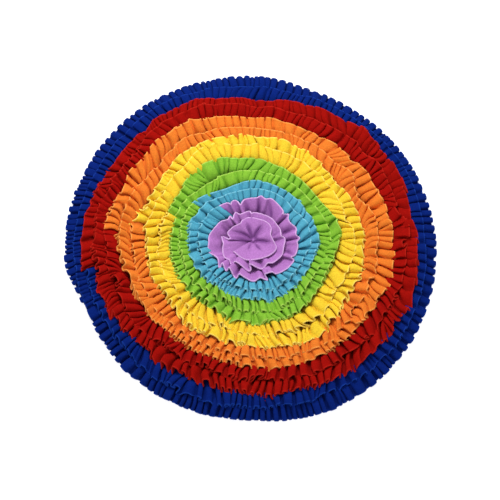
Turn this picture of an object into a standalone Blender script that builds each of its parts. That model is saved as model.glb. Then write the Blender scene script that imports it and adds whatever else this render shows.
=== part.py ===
"""Round snuffle mat: seven bands of gathered fleece sewn in one long spiral on a round base cloth.

Metres, +Z up. The origin is under the middle of the mat, on the surface that it lies on. The spiral
is measured in turns from +X, anticlockwise seen from above: turn 3.25 is the direction of +Y on the
fourth time round.
"""
import math
import random
from collections import namedtuple

import bmesh
import bpy

MM = 0.001

# Driving sizes, in metres.
FLEECE_THICKNESS = 2.0 * MM
BASE_THICKNESS = 2.0 * MM
BAND_WIDTH = 31.0 * MM              # from the gathered seam to the free edge
SEAM_CLEARANCE = 0.3 * MM           # between the base cloth and the lowest point of a seam
FOLD_ROUNDING = 0.15 * MM           # what a fold's corner adds to half the fleece's thickness
BAND_END_GAP = 1.5 * MM             # between the end of one colour and the start of the next
BASE_MARGIN = 6.0 * MM              # base cloth outside the outermost seam
SPIRAL_CENTRE = (4.02 * MM, -1.06 * MM)    # puts the middle of the whole outline over the origin

# Folds, in metres along the middle of the band.
FOLD_LENGTH_AT_HEART = 7.0 * MM     # from one fold to the next, at the middle of the mat
FOLD_LENGTH_AT_RIM = 8.2 * MM       # and at its rim
FOLD_UNEVENNESS = 0.35              # share by which a fold is longer or shorter than that
SEAM_FOLD_HEIGHT = 0.8 * MM         # half the depth of a fold where it is gathered
ROW_PITCH = 15.4 * MM               # usual distance between rows
TIGHTEST_ROW_PITCH = 4.7 * MM       # rows this close would leave no room for folds
FIRST_SEED = 11                     # of the uneven folds, one seed for each band

DIRECTIONS = 12                     # directions in the table of free edges, 30 degrees apart
BASE_OUTLINE_POINTS = 72
BASE_SMOOTHING = 4                  # outline points on each side that a point is averaged with

Band = namedtuple("Band", "node end color edge_mm")

# The bands from the middle out. "end" is the turn at which a band ends. "edge_mm" is the radius of
# its outermost free edge, in millimetres, in twelve directions. The heart is the purple band's own
# first turn, which lies as a small flower over the middle of the mat.
#     direction, degrees:    0   30   60   90  120  150  180  210  240  270  300  330
HEART = Band("heart", 1.55, None,
             (              29,  29,  30,  31,  31,  32,  42,  32,  30,  30,  31,  33))
BANDS = (
    Band("ruffle_purple", 3.37, (0.48, 0.19, 0.58),
         (                  58,  53,  57,  57,  60,  49,  59,  60,  59,  62,  61,  61)),
    Band("ruffle_light_blue", 5.41, (0.07, 0.38, 0.60),
         (                  86,  83,  80,  82,  78,  83,  86,  87,  84,  88,  90,  84)),
    Band("ruffle_green", 7.45, (0.22, 0.51, 0.03),
         (                 119, 103, 107, 116, 122, 117, 109, 113, 112, 118, 119, 108)),
    Band("ruffle_yellow", 9.48, (0.95, 0.60, 0.02),
         (                 149, 136, 142, 148, 156, 152, 144, 141, 150, 151, 160, 146)),
    Band("ruffle_orange", 11.49, (0.91, 0.20, 0.02),
         (                 181, 176, 174, 176, 188, 185, 180, 173, 172, 179, 188, 183)),
    Band("ruffle_red", 13.53, (0.40, 0.01, 0.01),
         (                 215, 219, 213, 210, 222, 220, 227, 212, 208, 214, 219, 221)),
    Band("ruffle_blue", 15.56, (0.01, 0.03, 0.26),
         (                 244, 243, 242, 249, 254, 252, 252, 240, 247, 247, 253, 248)),
)
SPIRAL_START = 0.60                 # turn at which the purple band starts, at the very middle

Row = namedtuple("Row", "turn lean_deg fold_mm")

# How the rows stand: lean of the band above the base cloth, and half the depth of the folds at the
# free edge. The last turn has no row outside to lie on, so it droops towards the floor.
ROWS = (
    Row(0.60, 27.0, 1.2),
    Row(1.40, 30.0, 1.6),
    Row(2.40, 35.0, 2.2),
    Row(3.60, 40.0, 3.4),
    Row(12.50, 39.0, 3.5),
    Row(12.65, 34.0, 3.5),
    Row(13.50, 32.0, 3.5),
    Row(13.65, 23.0, 3.2),
    Row(14.50, 20.0, 3.2),
    Row(14.65, 8.0, 2.8),
    Row(15.56, 6.0, 2.8),
)

BASE_COLOR = (0.02, 0.03, 0.12)
FLEECE_ROUGHNESS = 0.95


def known_edges(direction):
    """Turn and radius of every colour's outermost free edge in one of the twelve directions."""
    start = direction / DIRECTIONS
    return [(start + math.floor(band.end - start), band.edge_mm[direction] * MM)
            for band in (HEART,) + BANDS]


def knot_radius(knot):
    """Free edge radius at a twelfth of a turn, shared out evenly between the known edges."""
    known = known_edges(knot % DIRECTIONS)
    turn = knot / DIRECTIONS
    if turn <= known[0][0]:
        return known[0][1]
    for (turn_in, radius_in), (turn_out, radius_out) in zip(known, known[1:]):
        if turn_in < turn <= turn_out:
            share = (turn - turn_in) / (turn_out - turn_in)
            return radius_in + share * (radius_out - radius_in)
    return known[-1][1] + (turn - known[-1][0]) * ROW_PITCH


def edge_radius(turn):
    """Free edge radius at any turn, on a smooth curve through the knots (Catmull-Rom)."""
    knot = math.floor(turn * DIRECTIONS)
    t = turn * DIRECTIONS - knot
    before, a, b, after = (knot_radius(knot + step) for step in (-1, 0, 1, 2))
    bend_a = (b - before) / 2
    bend_b = (after - a) / 2
    return (a * (1 + 2 * t) * (1 - t) ** 2 + bend_a * t * (1 - t) ** 2
            + b * t * t * (3 - 2 * t) - bend_b * t * t * (1 - t))


def row_value(turn, column):
    """A column of ROWS at any turn, on straight lines between its rows."""
    for low, high in zip(ROWS, ROWS[1:]):
        if turn <= high.turn:
            share = max(0.0, (turn - low.turn) / (high.turn - low.turn))
            return getattr(low, column) * (1 - share) + getattr(high, column) * share
    return getattr(ROWS[-1], column)


def lean(turn):
    """Angle of the band above the base cloth, in radians."""
    return math.radians(row_value(turn, "lean_deg"))


def seam_radius(turn):
    """Radius of the seam that holds the band."""
    return edge_radius(turn) - BAND_WIDTH * math.cos(lean(turn))


def fold_height(turn):
    """Half the depth of the folds at the free edge, less where the rows lie close together."""
    room_inside = edge_radius(turn) - edge_radius(max(turn - 1, SPIRAL_START))
    room_outside = edge_radius(min(turn + 1, BANDS[-1].end)) - edge_radius(turn)
    rooms = [room for room in (room_inside, room_outside) if room > TIGHTEST_ROW_PITCH]
    room = min(rooms, default=ROW_PITCH)
    share = (room - TIGHTEST_ROW_PITCH) / (ROW_PITCH - TIGHTEST_ROW_PITCH)
    return row_value(turn, "fold_mm") * MM * min(share, 1.0)


def seam_height(turn):
    """Height of the seam, which clears the base cloth whatever the lean."""
    half_thickness = FLEECE_THICKNESS / 2 + FOLD_ROUNDING
    return BASE_THICKNESS + SEAM_CLEARANCE + half_thickness * math.cos(lean(turn))


def polar(turn, radius, height):
    """Point at a turn of the spiral."""
    angle = turn * math.tau
    return (SPIRAL_CENTRE[0] + radius * math.cos(angle),
            SPIRAL_CENTRE[1] + radius * math.sin(angle), height)


def seam_point(turn, side):
    """Point on the gathered seam, on one side or the other of its line."""
    return polar(turn, seam_radius(turn) + side * SEAM_FOLD_HEIGHT, seam_height(turn))


def edge_point(turn, side):
    """Point on the free edge, on the crest (1) or in the valley (-1) of a fold."""
    fold = side * fold_height(turn)
    radius = edge_radius(turn) - fold * math.sin(lean(turn))
    height = seam_height(turn) + BAND_WIDTH * math.sin(lean(turn)) + fold * math.cos(lean(turn))
    return polar(turn, radius, height)


def fold_turns(start, end, rng):
    """Turns at which a band is folded, crest and valley in turn, spaced as unevenly as by hand."""
    rim = edge_radius(BANDS[-1].end)
    turns = [start]
    while True:
        turn = turns[-1]
        middle = (edge_radius(turn) + seam_radius(turn)) / 2
        length = FOLD_LENGTH_AT_HEART + (FOLD_LENGTH_AT_RIM - FOLD_LENGTH_AT_HEART) * middle / rim
        length *= 1 + FOLD_UNEVENNESS * rng.uniform(-1, 1)
        turn += length / (middle * math.tau)
        if turn > end:
            break
        turns.append(turn)
    stretch = (end - start) / (turns[-1] - start)
    return [start + (turn - start) * stretch for turn in turns]


def fleece_material(name, color):
    """Plain matt cloth of one colour."""
    material = bpy.data.materials.new(name)
    material.use_nodes = True
    shader = material.node_tree.nodes["Principled BSDF"]
    shader.inputs["Base Color"].default_value = (*color, 1.0)
    shader.inputs["Roughness"].default_value = FLEECE_ROUGHNESS
    shader.inputs["Metallic"].default_value = 0.0
    material.diffuse_color = (*color, 1.0)
    return material


def folded_band(band, start, rng, collection):
    """One colour of fleece: a strip two points wide, folded along the spiral and given its thickness."""
    middle = (edge_radius(start) + seam_radius(start)) / 2
    first = start + BAND_END_GAP / (middle * math.tau)
    turns = fold_turns(first, band.end, rng)
    mesh = bpy.data.meshes.new(band.node)
    grid = bmesh.new()
    bmesh.ops.create_grid(grid, x_segments=len(turns) - 1, y_segments=1, size=1.0)
    for vert in grid.verts:
        station = round((vert.co.x + 1) / 2 * (len(turns) - 1))
        side = 1 if station % 2 else -1
        place = edge_point if vert.co.y < 0 else seam_point
        vert.co = place(turns[station], side)
    grid.to_mesh(mesh)
    grid.free()
    mesh.materials.append(fleece_material(band.node + "_fleece", band.color))
    piece = bpy.data.objects.new(band.node, mesh)
    collection.objects.link(piece)
    solidify = piece.modifiers.new("fleece", "SOLIDIFY")
    solidify.thickness = FLEECE_THICKNESS
    solidify.offset = 0.0
    solidify.use_even_offset = True


def base_radius(point):
    """Radius of the base cloth: a margin outside the outermost seam, evened out like a cut by hand."""
    radii = []
    for step in range(-BASE_SMOOTHING, BASE_SMOOTHING + 1):
        direction = (point + step) / BASE_OUTLINE_POINTS
        last = BANDS[-1].end
        radii.append(seam_radius(direction + math.floor(last - direction)))
    return sum(radii) / len(radii) + BASE_MARGIN


def base_cloth(collection):
    """Round base cloth, flat on the surface."""
    curve = bpy.data.curves.new("base_cloth", "CURVE")
    curve.dimensions = "2D"
    curve.fill_mode = "BOTH"
    curve.extrude = BASE_THICKNESS / 2
    outline = curve.splines.new("POLY")
    outline.points.add(BASE_OUTLINE_POINTS - 1)
    outline.use_cyclic_u = True
    for index, point in enumerate(outline.points):
        place = polar(index / BASE_OUTLINE_POINTS, base_radius(index), 0.0)
        point.co = (*place, 1.0)
    curve.materials.append(fleece_material("base_cloth_felt", BASE_COLOR))
    piece = bpy.data.objects.new("base_cloth", curve)
    piece.location.z = BASE_THICKNESS / 2
    collection.objects.link(piece)


def build():
    """The whole mat: base cloth, then the seven bands in the order in which they are sewn."""
    for old in list(bpy.data.objects):
        bpy.data.objects.remove(old, do_unlink=True)
    collection = bpy.data.collections.new("snuffle_mat")
    bpy.context.scene.collection.children.link(collection)
    base_cloth(collection)
    start = SPIRAL_START
    for seed, band in enumerate(BANDS, start=FIRST_SEED):
        folded_band(band, start, random.Random(seed), collection)
        start = band.end


build()
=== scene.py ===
"""Looks of a round snuffle mat: seven gathered fleece strips sewn in one spiral on a base cloth.

Metres, +Z up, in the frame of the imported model. The spiral is measured in turns from +X,
anticlockwise seen from above: turn 3.25 is the direction of +Y on the fourth time round.
"""
from __future__ import annotations

import logging
import math
from dataclasses import dataclass, field
from enum import Enum

import bmesh
import bpy
import numpy as np
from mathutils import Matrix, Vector


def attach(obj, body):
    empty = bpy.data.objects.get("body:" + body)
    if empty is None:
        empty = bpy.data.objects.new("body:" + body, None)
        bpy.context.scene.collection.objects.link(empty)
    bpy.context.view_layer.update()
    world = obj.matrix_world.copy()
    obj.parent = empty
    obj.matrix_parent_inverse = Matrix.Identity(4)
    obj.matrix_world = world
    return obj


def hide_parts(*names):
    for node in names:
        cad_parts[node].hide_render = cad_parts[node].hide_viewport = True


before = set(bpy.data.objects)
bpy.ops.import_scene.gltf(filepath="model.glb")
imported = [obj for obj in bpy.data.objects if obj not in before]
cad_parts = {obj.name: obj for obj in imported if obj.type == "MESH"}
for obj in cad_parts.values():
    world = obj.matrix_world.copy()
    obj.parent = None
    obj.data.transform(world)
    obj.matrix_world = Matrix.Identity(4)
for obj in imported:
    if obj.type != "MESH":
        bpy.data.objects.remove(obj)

Array = np.ndarray
Span = tuple[float, float]
Colour = tuple[float, float, float]

log = logging.getLogger("snuffle_mat")
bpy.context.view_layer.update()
MM = 0.001
TAU = math.tau
USUAL_LEAN = math.radians(40)
TINY = 1e-12
WHITE = (1, 1, 1, 1)


# ---------------------------------------------------------------- the spiral that all is sewn along


@dataclass(frozen=True)
class ColourBand:
    """One colour of the spiral: where it ends, and how far its outermost free edge reaches.

    edge_mm is the radius in millimetres in twelve directions, 30 degrees apart, from +X.
    """

    node: str
    end: float
    edge_mm: tuple[float, ...]


@dataclass(frozen=True)
class Posture:
    """How a row stands at one turn: its lean above the base cloth, and how far its edge sinks."""

    turn: float
    lean_deg: float
    droop_mm: float


# HEART is the small flower in the middle, the first time round of the purple strip.
#                                           0    30   60   90   120  150  180  210  240  270  300  330
HEART = ColourBand("heart", 1.55,          (29,  29,  30,  31,  31,  32,  42,  32,  30,  30,  31,  33))
PURPLE = ColourBand("ruffle_purple", 3.37, (58,  53,  57,  57,  60,  49,  59,  60,  59,  62,  61,  61))
LIGHT_BLUE = ColourBand("ruffle_light_blue", 5.41,
                        (86,  83,  80,  82,  78,  83,  86,  87,  84,  88,  90,  84))
GREEN = ColourBand("ruffle_green", 7.45,   (119, 103, 107, 116, 122, 117, 109, 113, 112, 118, 119, 108))
YELLOW = ColourBand("ruffle_yellow", 9.48, (149, 136, 142, 148, 156, 152, 144, 141, 150, 151, 160, 146))
ORANGE = ColourBand("ruffle_orange", 11.49,
                    (181, 176, 174, 176, 188, 185, 180, 173, 172, 179, 188, 183))
RED = ColourBand("ruffle_red", 13.53,      (215, 219, 213, 210, 222, 220, 227, 212, 208, 214, 219, 221))
BLUE = ColourBand("ruffle_blue", 15.56,    (244, 243, 242, 249, 254, 252, 252, 240, 247, 247, 253, 248))
BANDS = (HEART, PURPLE, LIGHT_BLUE, GREEN, YELLOW, ORANGE, RED, BLUE)

POSTURES = (
    Posture(0.60, 27.0, 0.0),
    Posture(1.40, 30.0, 0.0),
    Posture(2.40, 35.0, 0.0),
    Posture(3.60, 40.0, 0.0),
    Posture(12.50, 39.0, 0.0),
    Posture(12.65, 34.0, 0.0),
    Posture(13.50, 32.0, 0.0),
    Posture(13.65, 23.0, 0.0),
    Posture(14.50, 20.0, 1.0),
    Posture(14.65, 8.0, 2.5),
    Posture(15.56, 6.0, 2.5),
)


@dataclass(frozen=True)
class SpiralPath:
    """The line of the seam and of the free edge, the same as in the solids.

    The spare knots and the turns beyond its end let the smooth curve run to the very end.
    """

    centre: tuple[float, float] = (4.02 * MM, -1.06 * MM)
    start: float = 0.60
    band_width: float = 31.0 * MM
    row_pitch: float = 15.4 * MM
    tightest_pitch: float = 4.7 * MM
    seam_lift: float = 2.3 * MM
    half_thickness: float = 1.15 * MM
    directions: int = 12
    spare_knots: int = 4
    turns_beyond: int = 3
    length_steps: int = 6000
    knots: Array = field(init=False, repr=False, compare=False)
    length_turns: Array = field(init=False, repr=False, compare=False)
    length_table: Array = field(init=False, repr=False, compare=False)

    def __post_init__(self) -> None:
        """Works out the knots of the free edge and its length along the spiral."""
        count = math.ceil(self.end * self.directions) + self.spare_knots
        knots = np.array([self.knot_radius(knot) for knot in range(count)])
        object.__setattr__(self, "knots", knots)
        turns = np.linspace(self.start, self.end, self.length_steps)
        steps = np.diff(turns) * TAU * self.edge_radius((turns[1:] + turns[:-1]) / 2)
        object.__setattr__(self, "length_turns", turns)
        object.__setattr__(self, "length_table", np.concatenate([[0.0], np.cumsum(steps)]))

    @property
    def end(self) -> float:
        """Turn at which the spiral ends."""
        return BANDS[-1].end

    def knot_radius(self, knot: int) -> float:
        """Gives the free edge radius at a twelfth of a turn.

        Args:
            knot: Number of twelfths from the start of the first turn.

        Returns:
            Radius shared out evenly between the known edges of that direction.
        """
        direction = knot % self.directions
        share = direction / self.directions
        turns = [share + math.floor(band.end - share) for band in BANDS]
        radii = [band.edge_mm[direction] * MM for band in BANDS]
        turns.append(turns[-1] + self.turns_beyond)
        radii.append(radii[-1] + self.turns_beyond * self.row_pitch)
        return float(np.interp(knot / self.directions, turns, radii))

    def edge_radius(self, turns: Array) -> Array:
        """Gives the radius of the free edge, on a smooth curve through the knots.

        Args:
            turns: Places along the spiral.

        Returns:
            Radius at each place.
        """
        place = np.asarray(turns, dtype=float) * self.directions
        knot = np.clip(np.floor(place).astype(int), 1, len(self.knots) - 3)
        t = place - knot
        before, a, b, after = (self.knots[knot + step] for step in (-1, 0, 1, 2))
        bend_a = (b - before) / 2
        bend_b = (after - a) / 2
        return (a * (1 + 2 * t) * (1 - t) ** 2 + bend_a * t * (1 - t) ** 2
                + b * t * t * (3 - 2 * t) - bend_b * t * t * (1 - t))

    def posture(self, turns: Array, column: str) -> Array:
        """Gives a column of the postures at any turn, on straight lines between its rows."""
        return np.interp(turns, [row.turn for row in POSTURES],
                         [getattr(row, column) for row in POSTURES])

    def lean(self, turns: Array) -> Array:
        """Angle of the band above the base cloth, in radians."""
        return np.radians(self.posture(turns, "lean_deg"))

    def seam_radius(self, turns: Array) -> Array:
        """Radius of the seam that holds the band."""
        return self.edge_radius(turns) - self.band_width * np.cos(self.lean(turns))

    def seam_height(self, turns: Array) -> Array:
        """Height of the middle of the cloth at the seam."""
        return self.seam_lift + self.half_thickness * np.cos(self.lean(turns))

    def pitches(self, turns: Array) -> tuple[Array, Array]:
        """Gives the distance to the rows inside and outside.

        Args:
            turns: Places along the spiral.

        Returns:
            Distance to the row inside and to the row outside, the usual one where there is none.
        """
        here = self.edge_radius(turns)
        inside = here - self.edge_radius(np.maximum(turns - 1, self.start))
        outside = self.edge_radius(np.minimum(turns + 1, self.end)) - here
        inside = np.where(turns - 1 < self.start, self.row_pitch, inside)
        outside = np.where(turns + 1 > self.end, self.row_pitch, outside)
        return inside, outside

    def length_at(self, turns: Array) -> Array:
        """Length of the free edge's line from the start of the spiral."""
        return np.interp(turns, self.length_turns, self.length_table)

    def turn_at(self, lengths: Array) -> Array:
        """Turn at a length of the free edge's line."""
        return np.interp(lengths, self.length_table, self.length_turns)

    def placed(self, x: Array, y: Array, *rest: Array) -> Array:
        """Points at a distance from the middle of the spiral, with their other coordinates."""
        return np.stack([self.centre[0] + x, self.centre[1] + y, *rest], axis=-1)


PATH = SpiralPath()


# ---------------------------------------------------------------- how the cloth folds


def smooth(value: Array, low: float, high: float) -> Array:
    """Rises smoothly from 0 at low to 1 at high."""
    share = np.clip((value - low) / (high - low), 0, 1)
    return share * share * (3 - 2 * share)


def unit(vectors: Array) -> Array:
    """Vectors of the same directions, each with a length of one."""
    return vectors / np.maximum(np.linalg.norm(vectors, axis=-1, keepdims=True), TINY)


def soft_limit(value: Array, limit: Array, hardness: float = 2.2, least: float = 0.05 * MM) -> Array:
    """Bends a value gently towards a limit that it never passes."""
    limit = np.maximum(limit, least)
    return value / (1 + np.abs(value / limit) ** hardness) ** (1 / hardness)


@dataclass(frozen=True)
class FoldHabit:
    """How unevenly the strips are gathered, and how narrow a fold may be.

    The spreads are standard deviations. Wide and narrow folds come in runs: run_memory is how
    much of a run is left at the next fold, and run_change is how much is new. Fullness is cloth
    for a length of mat, and broad_cost is how much less a broad or a narrow crest may swing.
    """

    narrowest_mm: float = 5.6
    widest_mm: float = 17.0
    spread: float = 0.30
    run_spread: float = 0.26
    run_memory: float = 0.8
    run_change: float = 0.6
    cloth_spread: float = 0.12
    least_fullness: float = 1.16
    broadness_spread: float = 0.10
    least_broadness: float = -0.1
    most_broadness: float = 0.45
    broad_cost: float = 0.4
    puff_fullness: float = 1.32
    puff_broadness: float = 0.30


@dataclass(frozen=True)
class Gathering:
    """How the strips are gathered on one side of the mat.

    width_mm and cloth_mm are those of a usual fold, broadness makes the crest broad and the
    crease narrow, droop is how far the free edge bends over, so that a crest's edge hangs
    outside a crease's, rim_droop is the same on the outermost row, and disorder is how far the
    folds stray.
    """

    direction_deg: float
    width_mm: float
    cloth_mm: float
    broadness: float
    droop: float
    rim_droop: float
    disorder: float


GATHERINGS = (
    Gathering(0, 10.2, 26.5, 0.12, 0.38, 0.52, 1.35),
    Gathering(45, 9.8, 23.0, 0.26, 0.34, 0.40, 1.1),
    Gathering(90, 9.4, 21.0, 0.32, 0.30, 0.34, 0.8),
    Gathering(135, 9.2, 22.5, 0.24, 0.26, 0.38, 1.0),
    Gathering(168, 8.8, 28.0, 0.04, 0.05, 0.52, 1.2),
    Gathering(200, 8.6, 29.0, 0.0, 0.0, 0.56, 1.2),
    Gathering(235, 8.6, 30.0, -0.05, 0.05, 0.56, 1.2),
    Gathering(270, 9.2, 30.5, -0.05, 0.18, 0.52, 1.1),
    Gathering(310, 10.0, 28.0, 0.04, 0.32, 0.52, 1.25),
)


def gathering(turn: Array, column: str) -> Array:
    """Gives a column of the gatherings in any direction, on straight lines between its rows."""
    return np.interp(np.asarray(turn) % 1, [row.direction_deg / 360 for row in GATHERINGS],
                     [getattr(row, column) for row in GATHERINGS], period=1)


@dataclass(frozen=True)
class Puff:
    """A broad smooth fold that stands out in the photograph."""

    turn: float
    width_mm: float


PUFFS = (
    Puff(4.438, 18), Puff(4.560, 24), Puff(5.386, 18),
    Puff(5.620, 15), Puff(6.303, 22), Puff(6.718, 15), Puff(7.020, 25), Puff(7.333, 24),
    Puff(7.872, 18), Puff(7.925, 21), Puff(8.276, 18), Puff(8.406, 24), Puff(8.693, 20),
    Puff(8.842, 22), Puff(9.092, 16), Puff(9.201, 22), Puff(9.299, 22),
    Puff(10.429, 18), Puff(10.553, 22), Puff(10.826, 18), Puff(10.945, 17), Puff(11.148, 22),
    Puff(11.454, 16),
    Puff(11.576, 22), Puff(12.148, 20), Puff(12.884, 22), Puff(12.938, 18), Puff(13.028, 20),
    Puff(13.408, 20), Puff(13.508, 20),
    Puff(13.589, 20), Puff(13.690, 20), Puff(13.940, 20), Puff(14.572, 22), Puff(14.844, 22),
)


@dataclass(frozen=True)
class TightestSwing:
    """How far a fold of one width may swing before its two sides pass through each other."""

    width_mm: float
    swing_deg: float


TIGHTEST_SWINGS = (
    TightestSwing(6.0, 84.0), TightestSwing(7.5, 103.0), TightestSwing(9.0, 110.0),
    TightestSwing(10.6, 113.0), TightestSwing(13.0, 115.0), TightestSwing(18.0, 115.0),
)


@dataclass
class Wave:
    """One fold of the strip.

    width is measured along the mat, cloth along the cloth, swing is how far the cloth turns to
    each side in radians, and broadness makes the crest broad and the crease narrow.
    """

    width: float
    cloth: float
    swing: float
    broadness: float

    def bend(self, phase: Array) -> Array:
        """Angle of the cloth to the mat's edge at a phase of the fold."""
        return self.swing * (np.sin(phase) + self.broadness * np.sin(2 * phase))


@dataclass
class Stations:
    """Places along the strip's middle line, one value for each in every array.

    offset is how far the place lies along the mat from an even spread, height is its height in
    the fold, cloth its length along the cloth, and wave the number of its fold and the share of
    it.
    """

    turn: Array
    offset: Array
    height: Array
    cloth: Array
    wave: Array


class FoldPattern:
    """Lays out the folds of a strip, as uneven as by hand.

    A fold is fitted from a table of swings, each worked out over a number of phases. bunching
    puts the places closer together on the crests and in the creases, where the cloth bends most.
    """

    most_swing = 2.05
    swing_count = 83
    phase_count = 120
    fewest_steps = 8
    bunching = 0.20
    spare_values = 4

    def __init__(self, habit: FoldHabit, seed: int) -> None:
        """Keeps the habit and starts the random numbers.

        Args:
            habit: How the strip is gathered.
            seed: Start of the random numbers.
        """
        self.habit = habit
        self.rng = np.random.default_rng(seed)
        self.swings = np.linspace(0.0, self.most_swing, self.swing_count)
        self.phase = (np.arange(self.phase_count) + 0.5) / self.phase_count * TAU

    def fit(self, wave: Wave) -> None:
        """Swings a fold so far that its cloth fits its width, or as far as it may.

        Args:
            wave: The fold, whose swing and cloth are set.
        """
        bend = self.swings[:, None] * (np.sin(self.phase) + wave.broadness * np.sin(2 * self.phase))
        shortening = np.cos(bend).mean(axis=1)
        swing = float(np.interp(wave.width / wave.cloth, shortening[::-1], self.swings[::-1]))
        tightest = math.radians(np.interp(wave.width / MM, [row.width_mm for row in TIGHTEST_SWINGS],
                                          [row.swing_deg for row in TIGHTEST_SWINGS]))
        wave.swing = min(swing, tightest / (1 + self.habit.broad_cost * abs(wave.broadness)))
        wave.cloth = wave.width / float(np.interp(wave.swing, self.swings, shortening))

    def random_waves(self, first: float, last: float) -> list[Wave]:
        """Fills a stretch of the mat with folds, no two alike.

        Args:
            first: Length of the free edge's line where the stretch starts.
            last: Length where it ends.

        Returns:
            Folds whose widths add up to the stretch.
        """
        habit, rng, waves, run, place = self.habit, self.rng, [], 0.0, first
        while place < last:
            width_mm, cloth_mm, broadness = (float(gathering(PATH.turn_at(place), name))
                                             for name in ("width_mm", "cloth_mm", "broadness"))
            run = habit.run_memory * run + habit.run_change * rng.normal()
            width = width_mm * math.exp(habit.spread * rng.normal() + habit.run_spread * run)
            width = min(max(width, habit.narrowest_mm), habit.widest_mm) * MM
            cloth = cloth_mm * MM * (1 + habit.cloth_spread * rng.normal())
            broadness += habit.broadness_spread * rng.normal()
            broadness = min(max(broadness, habit.least_broadness), habit.most_broadness)
            waves.append(Wave(width, max(cloth, habit.least_fullness * width), 0.0, broadness))
            place += width
        if len(waves) > 1 and place - last > waves[-1].width / 2:
            place -= waves.pop().width
        for wave in waves:
            wave.width *= (last - first) / (place - first)
        return waves

    def waves(self, first: float, last: float) -> list[Wave]:
        """Lays out a strip's folds: the puffs at their places, and random ones between them.

        Args:
            first: Turn at which the strip starts.
            last: Turn at which it ends.

        Returns:
            Folds whose widths add up to the strip's length along the mat.
        """
        place, waves = float(PATH.length_at(first)), []
        for puff in PUFFS:
            if first < puff.turn < last:
                width, centre = puff.width_mm * MM, float(PATH.length_at(puff.turn))
                waves += self.random_waves(place, centre - width / 2)
                waves.append(Wave(width, self.habit.puff_fullness * width, 0.0,
                                  self.habit.puff_broadness))
                place = centre + width / 2
        waves += self.random_waves(place, float(PATH.length_at(last)))
        for wave in waves:
            self.fit(wave)
        return waves

    def stations(self, waves: list[Wave], start: float, step: float) -> Stations:
        """Walks along the meandering middle line of the cloth.

        Args:
            waves: The folds in order.
            start: Length of the free edge's line at which the first fold starts.
            step: Usual distance between two places.

        Returns:
            The places, with their offset along the mat and their height in the fold.
        """
        parts: list[tuple[Array, ...]] = []
        halves = []
        width_sum, cloth_sum = start, 0.0
        for index, wave in enumerate(waves):
            count = max(self.fewest_steps, round(wave.cloth / step))
            tau = np.arange(count + 1) / count * TAU
            phase = tau - self.bunching * np.sin(2 * tau)
            middle = (phase[1:] + phase[:-1]) / 2
            run = np.diff(phase) / TAU * wave.cloth
            bend = wave.bend(middle)
            across = np.concatenate([[0.0], np.cumsum(np.cos(bend) * run)])
            across *= wave.width / across[-1]
            height = np.concatenate([[0.0], np.cumsum(np.sin(bend) * run)])
            height -= np.linspace(0, height[-1], count + 1)
            share = phase / TAU
            halves.append(height.max() / 2)
            last = None if index == len(waves) - 1 else -1
            parts.append(tuple(part[:last] for part in (
                width_sum + share * wave.width, across - share * wave.width, height,
                cloth_sum + share * wave.cloth, index + share)))
            width_sum += wave.width
            cloth_sum += wave.cloth
        line, offset, height, cloth, place = (np.concatenate(part) for part in zip(*parts))
        bounds = np.array([halves[0]] + [(a + b) / 2 for a, b in zip(halves, halves[1:])]
                          + [halves[-1]])
        spots = np.arange(len(halves))
        nodes = np.concatenate([np.arange(len(halves) + 1), spots + 0.5])
        values = np.concatenate([bounds, halves])
        order = np.argsort(nodes)
        half = np.interp(place, nodes[order], values[order])
        return Stations(PATH.turn_at(line), offset, height - half, cloth, place)

    def wander(self, place: Array, reach: float, run: float) -> Array:
        """Gives a slow random value along the folds.

        Args:
            place: Number of the fold and the share of it.
            reach: How far the value strays from zero, as a standard deviation.
            run: Folds over which it forgets its last value.

        Returns:
            Value at each place.
        """
        count = int(place[-1]) + self.spare_values
        keep = math.exp(-1 / run)
        noise = self.rng.normal(size=count) * math.sqrt(1 - keep * keep)
        values = np.zeros(count)
        value = self.rng.normal()
        for index in range(count):
            value = keep * value + noise[index]
            values[index] = value
        share = smooth(place % 1, 0, 1)
        index = place.astype(int)
        return reach * (values[index] * (1 - share) + values[index + 1] * share)


@dataclass(frozen=True)
class Bend:
    """A bend of the purple strip's free edge, by its direction from +X and its radius.

    The direction runs on as the strip does: 397 degrees is 37 degrees on the second time round.
    """

    degrees: float
    radius_mm: float


FLOWER_BENDS = (
    Bend(217, 33), Bend(242, 33), Bend(262, 32.5), Bend(294, 32), Bend(319, 34), Bend(335, 34),
    Bend(346, 29), Bend(368, 23.5), Bend(391, 28), Bend(412, 29), Bend(437, 27.5), Bend(462, 30),
    Bend(482, 28.5), Bend(491, 26), Bend(510, 31), Bend(528, 35), Bend(540, 31), Bend(545, 33),
    Bend(537, 42),
)
INNER_BENDS = (
    Bend(553, 41), Bend(562, 44), Bend(575, 47.5), Bend(585, 45.5), Bend(593, 48.5),
    Bend(595, 42.5), Bend(608, 43), Bend(622, 48), Bend(626, 46), Bend(623, 39), Bend(635, 42.5),
    Bend(645, 46), Bend(657, 42), Bend(667, 44.5), Bend(686, 45.5), Bend(700, 43),
    Bend(718, 42.5), Bend(723, 37.5), Bend(737, 38), Bend(750, 36.5), Bend(768, 37),
    Bend(788, 35.5), Bend(807, 36), Bend(814, 34), Bend(816, 38), Bend(823, 38.5), Bend(838, 37),
    Bend(842, 43), Bend(848, 42), Bend(857, 37), Bend(856, 41), Bend(855, 44), Bend(864, 42.5),
)
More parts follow.
